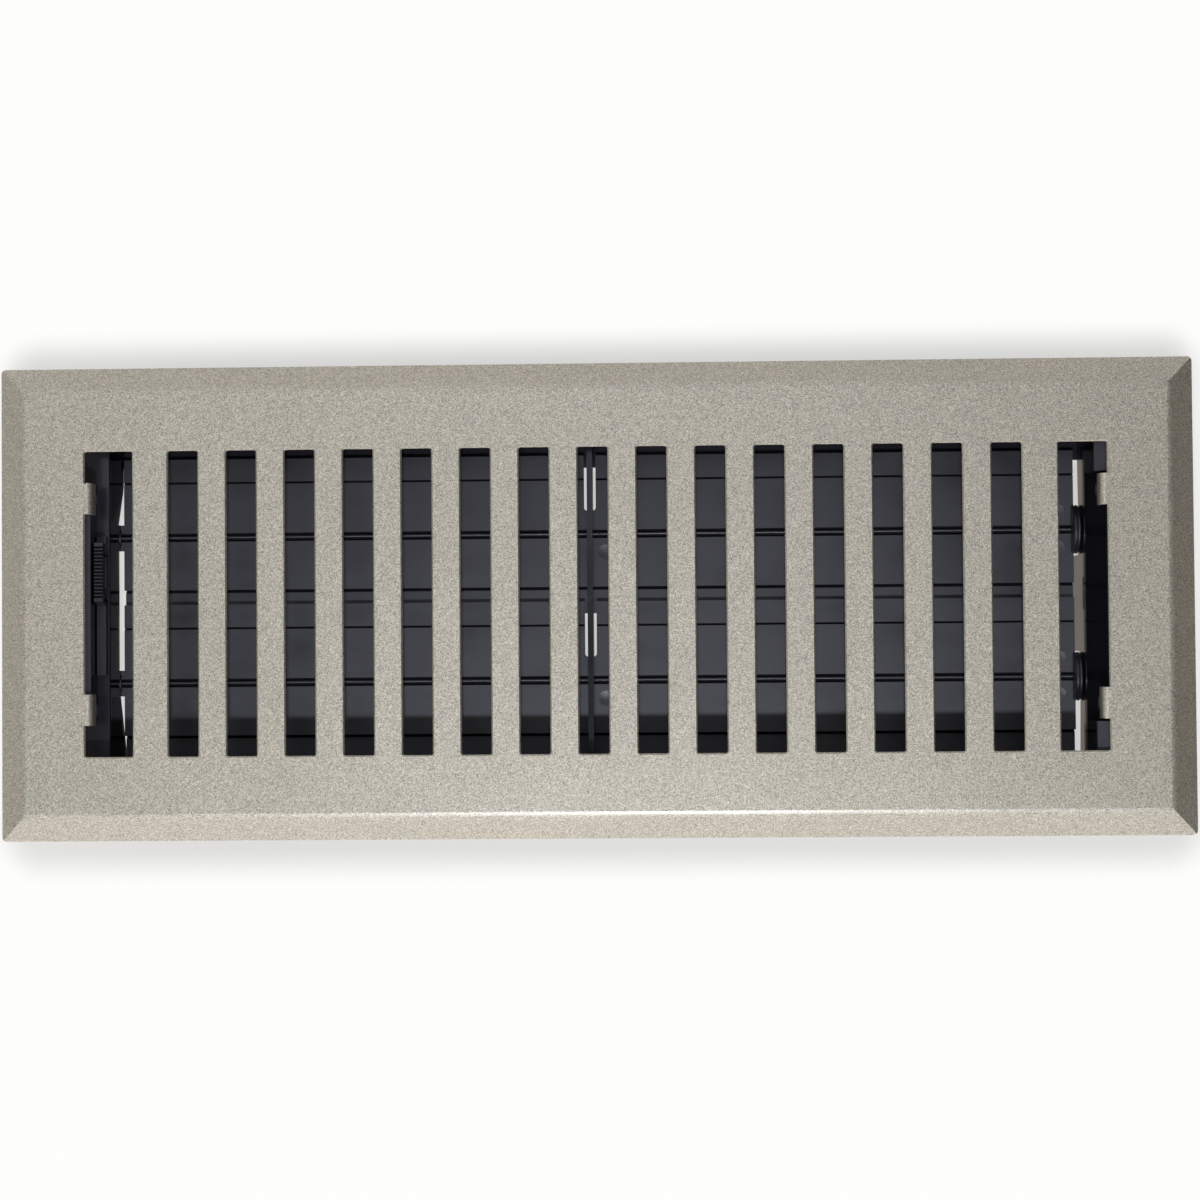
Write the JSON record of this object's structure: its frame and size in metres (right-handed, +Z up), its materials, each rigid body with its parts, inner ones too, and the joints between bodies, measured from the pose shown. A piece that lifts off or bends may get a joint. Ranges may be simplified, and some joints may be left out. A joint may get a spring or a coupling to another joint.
{
  "type": "floor register",
  "caption": "Floor register with a bevelled, slotted steel faceplate over a drop-in plastic damper box, whose louvers are opened and shut together by a thumb slider.",
  "frame": {"origin": "middle of the faceplate, in the plane of the floor that its rim rests on", "axes": "+X along the faceplate, away from the thumb slider; +Y across it, towards the louvers' rising edges; +Z up out of the floor"},
  "size_m": [0.345, 0.1374, 0.0504],
  "materials": {
    "plate_finish": "satin nickel",
    "black_plastic": "semi-gloss black"
  },
  "bodies": {
    "frame": {"faceplate": "plate_finish", "damper_box": "black_plastic"},
    "slider": {"thumb_slider": "black_plastic", "link_bar": "black_plastic"},
    "rear_louver": {"rear_louver": "black_plastic"},
    "front_louver": {"front_louver": "black_plastic"}
  },
  "joints": [
    {"name": "rear_louver_hinge", "type": "hinge", "parent": "frame", "child": "rear_louver", "pos_m": [0, 0.0203, -0.0209], "axis": [1, 0, 0], "range_deg": [0, 80]},
    {"name": "front_louver_hinge", "type": "hinge", "parent": "frame", "child": "front_louver", "pos_m": [0, -0.0232, -0.0209], "axis": [1, 0, 0], "range_deg": [0, 80]},
    {"name": "thumb_slide", "type": "slide", "parent": "frame", "child": "slider", "axis": [0, -1, 0], "range_m": [0, 0.01157]}
  ],
  "couplings": [
    {"joint": "front_louver_hinge", "follows": "rear_louver_hinge", "ratio": 1},
    {"joint": "thumb_slide", "follows": "rear_louver_hinge", "m_per_rad": 0.008286}
  ]
}
